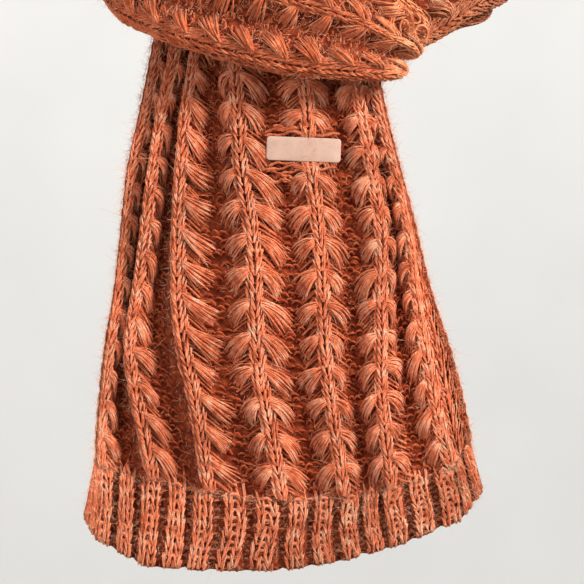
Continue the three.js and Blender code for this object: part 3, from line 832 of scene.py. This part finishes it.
def tail_ground(across, down):
    distance = np.abs(across - np.round(across)) * COLUMN_PITCH
    knit = (RIDGE + 1.6) * np.exp(-((distance / RIDGE_REACH) ** 2)) - 2.8
    rise = mix(knit, mix(1.4, -3.2, rib_gutter(across)), clamp01((down - 0.97) * 9))
    points = tail.at(across, down, rise + WALL / 2)
    return rise - (under_label(points)[..., 1] - points[..., 1])


def strand_ground(u, v):
    distance = np.abs(u[..., None] - np.array(STRIP_COLUMNS[1:])).min(-1) * STRIP_WIDTH
    fade = clamp01(END_SHARE + (strand_end - v) / END_FADE)
    knit = 2.6 * fade * np.exp(-((distance / RIDGE_REACH) ** 2)) - 0.9
    return np.where(u > LOW_FOLD_END - 0.05, knit, -0.4)


def under_ground(u, v):
    """Fine rows, and ribs below them."""
    row = 0.35 * np.cos(v * 2 * math.pi / 4.6)
    rib = 0.8 * np.cos(u * 44 * math.pi) * clamp01((v - UNDER_RIBS) / 6)
    return row * clamp01((UNDER_RIBS + 5 - v) / 5) + rib


LABEL_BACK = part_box("label")[1][1] / MM


def under_label(points):
    """Yarn below the label is held down behind it, and rises again past its edges."""
    beyond_x = np.maximum(0, np.abs(points[..., 0] - LABEL_X) - LABEL_WIDTH / 2 + 1)
    beyond_z = np.maximum(0, np.abs(points[..., 2] - LABEL_Z) - LABEL_HEIGHT / 2 + 0.5)
    limit = LABEL_BACK + 0.7 - 0.9 * np.hypot(beyond_x, beyond_z)
    held = points.copy()
    held[..., 1] = np.maximum(points[..., 1], limit)
    return held


def tail_column(k):
    """Column k of the tail, with the narrow strips at both edges squeezed into their own width."""
    before = 1 / 10 if k == 1 else 1 / COLUMN_PITCH
    after = 1 / 15 if k == LINES - 2 else 1 / COLUMN_PITCH
    ridge = 2.2 if k in (1, LINES - 2) else RIDGE
    return Column(tail, k, 0.0, 1 / (TAIL_FANS * FAN_PITCH), before, after, ridge, hold=under_label)


TAIL_LENGTH = TAIL_FANS * FAN_PITCH
GROOVE = (COLUMN_PITCH / 2 - 4.4, COLUMN_PITCH / 2, COLUMN_PITCH / 2 + 4.4)
# How large the fans and the flanks are to the left (-1) and the right (1) of each column.
TAIL_SIZES = {
    1: ({1: 1.0}, {1: 1}),
    2: ({1: 1.05}, {1: 1}),
    3: ({1: 1.12}, {1: 1}),
    4: ({-1: 0.95, 1: 1.2}, {1: 1.2, -1: 1}),
    5: ({-1: 0.98, 1: 1.05}, {1: 1.2, -1: 1}),
    6: ({-1: 1.0, 1: 1.0}, {1: 1.2, -1: 1}),
    7: ({-1: 1.05}, {-1: 1}),
}


def tail_yarn():
    chains, left_fans, right_fans, flanks, ground, hair = Yarn(), Yarn(), Yarn(), Yarn(), Yarn(), Hair()
    for k in range(1, LINES - 1):
        column = tail_column(k)
        add_chain(chains, column, TAIL_LENGTH + 3)
        fans = left_fans if k < 5 else right_fans
        form = HOOKED_FAN if k == 3 else LEAF_FAN
        fan_sizes, flank_sizes = TAIL_SIZES[k]
        add_fans(fans, hair, column, TAIL_LENGTH, fan_sizes, form=form)
        add_flanks(flanks, column, TAIL_LENGTH, flank_sizes)
        if k < LINES - 2:
            add_purl(ground, column, TAIL_LENGTH, GROOVE)
    first, last = tail_column(1), tail_column(LINES - 2)
    add_purl(ground, first, TAIL_LENGTH, (-5.5,))
    margin = Column(tail, LINES - 1.55, 0.0, 1 / TAIL_LENGTH, 1 / 15, 1 / 15, 0.6, hold=under_label)
    add_chain(chains, margin, TAIL_LENGTH, 1, 3, 4, EDGE_CHAIN)
    add_edge(ground, first, TAIL_LENGTH + 2, -9)
    add_edge(ground, last, TAIL_LENGTH + 2, 14.2)
    return chains, left_fans, right_fans, flanks, ground, hair


LINES_PER_MM = (LINES - 1) / HEM_WIDTH


def rib_sway(centre, down):
    return 1.2 * wobble(down * 7, centre * 3, RIB_SEED)


def add_rib(yarn, centre, offset):
    """One line of slanted stitches of a rib of the hem, sunk at its top and at its end."""
    for side in (-1, 1):
        n, t = strokes(10, 5)
        loose = rng.normal(0, 0.25, (10, 1))
        outer = np.sign(offset) == side
        down = HEM_START + (n * HEM_ROW + 6.3 * t + rng.normal(0, 0.5, (10, 1))) / HEM_HEIGHT
        beside = offset + side * (1.6 - 1.1 * t) + loose + rib_sway(centre, down)
        across = centre + beside * LINES_PER_MM
        rise = (1.7 if outer else 2.3) + 1.1 * np.sin(math.pi * t) + loose
        rise = mix(-2.6, rise * clamp01((2.015 - down) * 16), clamp01((down - HEM_START) * 9))
        paths = tail.at(across, down, rise + WALL / 2)
        thickness = 0.47 * taper(t, 0.72, 0.04, 0.6)
        yarn.add_plied(paths, tail.normal(across, down), thickness, 2, 0.45, 2.4, 4)


def add_rib_bumps(yarn, centre, rise, width):
    """Purl stitches between two lines of a rib, or sunk between two ribs."""
    n, t = strokes(9, 5)
    loose = rng.normal(0, 0.3, (9, 1))
    down = 1.0 + (n * HEM_ROW + 1.2 - 1.1 * np.sin(math.pi * t) + loose) / HEM_HEIGHT
    across = centre + (width * (t - 0.5) + rib_sway(centre, down)) * LINES_PER_MM
    paths = tail.at(across, down, WALL / 2 + rise + 0.9 * np.sin(math.pi * t) + loose)
    yarn.add(paths, tail.normal(across, down), 0.9 + 0 * t, 4)


def hem_yarn():
    ribs = Yarn()
    for k in range(RIB_COUNT):
        centre = (LINES - 1) * (k + 0.5) / RIB_COUNT
        for offset in (-2.3, 2.3):
            add_rib(ribs, centre, offset)
        add_rib_bumps(ribs, centre, 1.5, 3.4)
        if k:
            add_rib_bumps(ribs, (LINES - 1) * k / RIB_COUNT, -3.3, 3.6)
    return ribs


def strip_yarn(start, end, full, plain, fade):
    """Chains, fans and grooves of a stretch of the wound strip. Fans sweep towards its start."""
    yarn, hair = Yarn(), Hair()
    length = end - start
    middle = COLUMN_PITCH / 2
    short_end = end - 5 if fade else end
    scale = STRIP_COLUMN_SPACING / COLUMN_PITCH
    for k in full + plain:
        first, ridge = (end, 2.4) if k else (short_end, 0.0)
        column = Column(strand, STRIP_COLUMNS[k], first, -1, scale, scale, ridge, fade)
        sizes = {-1: 1.1, 1: 1.1} if k else {1: 1.1}
        if k in plain:
            lines, layers, offsets = THIN_CHAIN, PLAIN_FAN_LAYERS, (-2.3, 2.3)
            plies, sides = 1, 3
        else:
            lines, layers, offsets = STRIP_CHAINS[k], STRIP_FAN_LAYERS, (-8.8, -4.4, 0, 4.4)
            plies, sides = 2, 4
        add_chain(yarn, column, length, plies, sides, 4, lines)
        add_fans(yarn, hair, column, length, sizes, layers, STRIP_FAN_PITCH, STRIP_FAN)
        if k in full:
            add_flanks(yarn, column, length, sizes, 3.4, 3)
        add_purl(yarn, column, length, [middle + offset for offset in offsets], sides)
    for u, face, lines in UNDERSIDE:
        column = Column(strand, u, short_end, -1, scale, scale, 0.0, fade, face=face)
        add_chain(yarn, column, length - 5, 1, 3, 4, lines)
    return yarn, hair


def front_spot(patch, x, z):
    """The patch's two parameters where its front lies at an X and a Z."""
    facing = patch.normals[..., 1] < -0.25
    miss = np.hypot(patch.points[..., 0] - x, patch.points[..., 2] - z) + np.where(facing, 0, 1000)
    j, i = np.unravel_index(np.argmin(miss), miss.shape)
    return patch.us[i], patch.vs[j]


# Loose curls at the end of the band: middle, half width, height, first and last angle and strands.
CURLS = [
    (53.0, -37.0, 5.9, 9.6, -0.5, 3.5, 5),
    (53.4, -37.4, 4.1, 6.8, -0.4, 3.6, 4),
    (53.8, -38.0, 2.4, 4.0, -0.3, 3.7, 4),
    (62.6, -39.8, 3.7, 4.2, -2.2, 4.4, 7),
]


def band_curls():
    """Fan strands that loop over the end of the band."""
    yarn, hair = Yarn(), Hair()
    for x, z, half, tall, first, last, strands in CURLS:
        u, v = front_spot(strand, x, z)
        middle = strand.at(np.array(u), np.array(v), np.array(4.4))
        for number in range(strands * 3):
            loose = number >= strands
            t = np.linspace(0, 1, 26)
            angle = mix(first, last, t) + rng.normal(0, 0.12)
            reach = 1 + rng.normal(0, 0.09 if loose else 0.06) + 0.05 * np.sin(9 * t + number)
            depth = 0.9 - 1.9 * np.sin(math.pi * t) + rng.normal(0, 0.5)
            ring = np.stack([half * reach * np.cos(angle), depth, tall * reach * np.sin(angle)], -1)
            path = middle + rng.normal(0, 0.2, 3) + ring
            facing = np.tile(FORWARD, (1, len(t), 1))
            thickness = taper(t, 0.6, 0.05)[None]
            if loose:
                hair.add_paths(path[None], facing, 0.26 * thickness)
            else:
                yarn.add(path[None], facing, 0.46 * thickness, 5)
    return yarn, hair


# Strands that pucker above and below the label: height, left and right end.
PUCKERS = [(-92.5, -17, 11), (-94.6, -20, 16), (-96.4, -21, 20), (-113.6, -19, 14), (-115.4, -21, 18)]
PUCKERS += [(-117.6, -20, 8), (-120.2, -16, 2), (-122.6, -19, -4)]


def label_puckers():
    yarn = Yarn()
    for z, left, right in PUCKERS:
        for _ in range(2):
            t = np.linspace(0, 1, 26)
            x = mix(left, right, t) + rng.normal(0, 0.6)
            height = z + 0.9 * np.sin(t * 9 + z) + 0.5 * np.sin(t * 23 + z * 3) + rng.normal(0, 0.3)
            rise = 1.8 + 0.9 * np.sin(t * 14 + z * 2) + 2.6 * np.exp(-(((x - 3) / 9) ** 2))
            rise = rise * taper(t, 0, 0.02, 0.4)
            y = TAIL_Y - TAIL_LEAN * (LEAN_TOP - height) - WALL / 2 - rise
            path = under_label(np.stack([x, y, height], -1))
            facing = np.tile(FORWARD, (1, len(t), 1))
            yarn.add_plied(path[None], facing, 0.42 + 0 * t[None], 2, 0.4, 26, 4)
    return yarn


def rounded_label():
    """The bare label: a slab with round corners and softened edges, bowed a little with the cloth."""
    corner, thick, soft = 1.9, 1.3, 0.35
    outline = []
    for cx, cz, first in ((1, 1, 0), (-1, 1, 90), (-1, -1, 180), (1, -1, 270)):
        for angle in np.radians(np.linspace(first, first + 90, 8)):
            x = cx * (LABEL_WIDTH / 2 - corner) + corner * math.cos(angle)
            z = cz * (LABEL_HEIGHT / 2 - corner) + corner * math.sin(angle)
            outline.append((x, z))
    outline = np.array(outline)
    # Rings from the back, round the edge, to the front.
    rings = [(0.3, 0.0), (1 - soft / 7, 0.0), (1, soft), (1, thick - soft)]
    rings += [(1 - soft / 9, thick - 0.08), (1 - soft / 5, thick), (0.7, thick), (0.3, thick)]
    points = []
    for share, depth in rings:
        inset = np.sign(outline) * (1 - share) * LABEL_HEIGHT / 2
        ring = outline * share if share < 0.9 else outline - inset
        bow = 0.35 * (1 - (2 * ring[:, 0] / LABEL_WIDTH) ** 2)
        points.append(np.stack([ring[:, 0], -depth - bow, ring[:, 1]], -1))
    count = len(outline)
    number = np.arange(len(rings) * count).reshape(len(rings), count)
    points = np.concatenate(points + [[(0, -0.35, 0), (0, -thick - 0.35, 0)]])
    corners = np.arange(0, count, 2)
    faces = [grid_quads(closed(number))]
    for ring, middle, order in ((number[0], len(points) - 2, -1), (number[-1], len(points) - 1, 1)):
        cap = [ring[corners], ring[corners + 1], ring[(corners + 2) % count]][::order]
        faces.append(np.stack([0 * corners + middle, *cap], -1))
    turn = LABEL_TURN
    turned_x = points[:, 0] * math.cos(turn) + points[:, 2] * math.sin(turn)
    turned_z = -points[:, 0] * math.sin(turn) + points[:, 2] * math.cos(turn)
    placed = np.stack([turned_x + LABEL_X, points[:, 1] + LABEL_BACK, turned_z + LABEL_Z], -1)
    return make_object("label_leather", placed, np.concatenate(faces), None, LEATHER)


def settle(piece, node=None):
    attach(piece, "root")
    if node:
        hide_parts(node)
    return piece


def build_piece(strands, name, material):
    return settle(strands.build(name, material))


tail_us, tail_vs = np.linspace(0, LINES - 1, 105), np.linspace(0, 2, 89)
tail_shell = make_shell("tail_cloth", tail, tail_us, tail_vs, tail_ground, SHADED_GROUND)
settle(tail_shell, "front_tail")
chains, left_fans, right_fans, flanks, ground, fan_hair = tail_yarn()
tail_parts = [
    build_piece(chains, "tail_chains", YARN),
    build_piece(left_fans, "tail_fans_left", YARN),
    build_piece(right_fans, "tail_fans_right", YARN),
    build_piece(flanks, "tail_flanks", SHADED),
    # Purl and edges in the yarn painted darker, as painted shade.
    build_piece(ground, "tail_grooves", GROOVE_SHADE),
    build_piece(hem_yarn(), "tail_hem", YARN),
    build_piece(label_puckers(), "tail_puckers", SHADED),
    build_piece(fan_hair, "tail_fan_fibres", YARN),
]


def scatter_tail(count):
    """Points on the knit of the tail, most of them on its raised columns and ribs."""
    on_hem = rng.uniform(0, 1, count) < 0.3
    down = np.where(on_hem, rng.uniform(0.97, 2, count), rng.uniform(0, 1.05, count))
    column = rng.integers(0, LINES, count) + rng.normal(0, 0.2, count)
    across = np.where(down > 1, rng.uniform(0, LINES - 1, count), column).clip(0, LINES - 1)
    rise = tail_ground(across, down) + WALL / 2 + rng.uniform(0.6, 2.8, count)
    return tail.at(across, down, rise), tail.normal(across, down)


tail_hair = Hair()
points, facing = scatter_tail(30000)
add_fuzz(tail_hair, points, facing, 2.8, 0.16)
tail_parts.append(build_piece(tail_hair, "tail_fuzz", FUZZ))

# Stretches of the wound strip: name, node, start, end, full columns, plain columns and loose hairs.
gap = SEAM_GAP / 2
STRETCHES = [
    ("side", "side_band", 0.0, right_seam - gap, [0, 1], [2, 3], 3000),
    ("loop", "neck_loop", right_seam + gap, left_seam - gap, [], [0, 1, 2, 3, 4], 1500),
    ("band", "cross_band", left_seam + gap, strand_end, [0, 1, 2], [3], 10000),
]
strip_parts = {}
for short, node, start, end, full, plain, hairs in STRETCHES:
    vs = np.linspace(start, end, int((end - start) / 3.5))
    shell = make_shell(short + "_cloth", strand, np.linspace(0, 1, 61), vs, strand_ground, SHADED_GROUND)
    settle(shell, node)
    fade = END_FADE if node == "cross_band" else 0.0
    yarn, hair = strip_yarn(start, end, full, plain, fade)
    # The band's yarn gets painted light at its end, the other stretches painted shade on the right
    # shoulder.
    yarn = build_piece(yarn, short + "_yarn", BAND if node == "cross_band" else BACK)
    u, v = rng.uniform(0.24, 0.7, hairs), rng.uniform(start, end, hairs)
    rise = strand_ground(u, v) + WALL / 2 + rng.uniform(0.6, 2.8, hairs)
    add_fuzz(hair, strand.at(u, v, rise), strand.normal(u, v), 2.9, 0.17)
    strip_parts[node] = (shell, [yarn, build_piece(hair, short + "_fuzz", FUZZ)])

under_us, under_vs = np.linspace(0, 1, 81), np.linspace(0, UNDER_TOP - UNDER_END, 61)
under_shell = make_shell("under_cloth", under, under_us, under_vs, under_ground, SHADED_GROUND)
settle(under_shell, "under_tail")

curls, curl_hair = band_curls()
strip_parts["cross_band"][1].append(build_piece(curls, "band_curls", BAND))
strip_parts["cross_band"][1].append(build_piece(curl_hair, "band_curl_fibres", YARN))
settle(rounded_label(), "label")

for node, length in (("side_band", 0.22), ("neck_loop", 0.32), ("cross_band", 0.27)):
    shell, parts = strip_parts[node]


# Stage, light and camera


def make_stage():
    """A pale floor that curves up into a backdrop."""
    half_width, floor, bend_start, top = 12.0, -4.0, 9.5, 6.0
    bend = np.radians(np.arange(15, 91, 15))
    depth = [-half_width, bend_start, *(bend_start + np.sin(bend)), bend_start + 1]
    height = [floor, floor, *(floor + 1 - np.cos(bend)), top]
    points = [(x, y, z) for y, z in zip(depth, height) for x in (-half_width, half_width)]
    faces = grid_quads(np.arange(len(points)).reshape(-1, 2))
    stage = make_object("stage_floor", np.array(points) / MM, faces, None, STAGE)


def add_light(name, place, target, size, power, colour):
    data = bpy.data.lights.new(name, "AREA")
    data.shape = "DISK"
    data.size = size
    data.energy = power
    data.color = colour
    light = bpy.data.objects.new(name, data)
    light.location = place
    direction = np.array(target) - np.array(place)
    yaw = math.atan2(direction[0], direction[1])
    pitch = math.atan2(direction[2], math.hypot(direction[0], direction[1]))
    light.rotation_euler = (math.pi / 2 + pitch, 0, -yaw)
    bpy.context.scene.collection.objects.link(light)


make_stage()
add_light("key", (1.25, -1.1, 0.7), (0, -0.1, -0.18), 0.6, 58, (1.0, 0.96, 0.9))
add_light("fill", (-1.5, -1.5, 0.1), (0, -0.1, -0.18), 1.6, 15, (1.0, 0.97, 0.94))
add_light("back", (0.3, 1.4, 1.6), (0, 0, -0.1), 1.2, 22, (1.0, 0.98, 0.95))
add_light("backdrop", (0, 8.2, 4.4), (0, 10.5, -0.1), 3.0, 255, (1.0, 0.99, 0.97))

world = bpy.data.worlds.new("world")
world.use_nodes = True
world.node_tree.nodes["Background"].inputs["Color"].default_value = (1.0, 0.985, 0.96, 1)
world.node_tree.nodes["Background"].inputs["Strength"].default_value = 0.56
bpy.context.scene.world = world
bpy.context.scene.view_settings.view_transform = "Standard"

camera_data = bpy.data.cameras.new("camera")
camera_data.sensor_width = 36
camera_data.lens = 443.6
camera_data.clip_start = 0.05
camera_data.clip_end = 60
camera = bpy.data.objects.new("camera", camera_data)
camera.location = (-0.0061, -4.112, -0.1845)
camera.rotation_euler = (math.pi / 2, 0, 0)
bpy.context.scene.collection.objects.link(camera)
bpy.context.scene.camera = camera
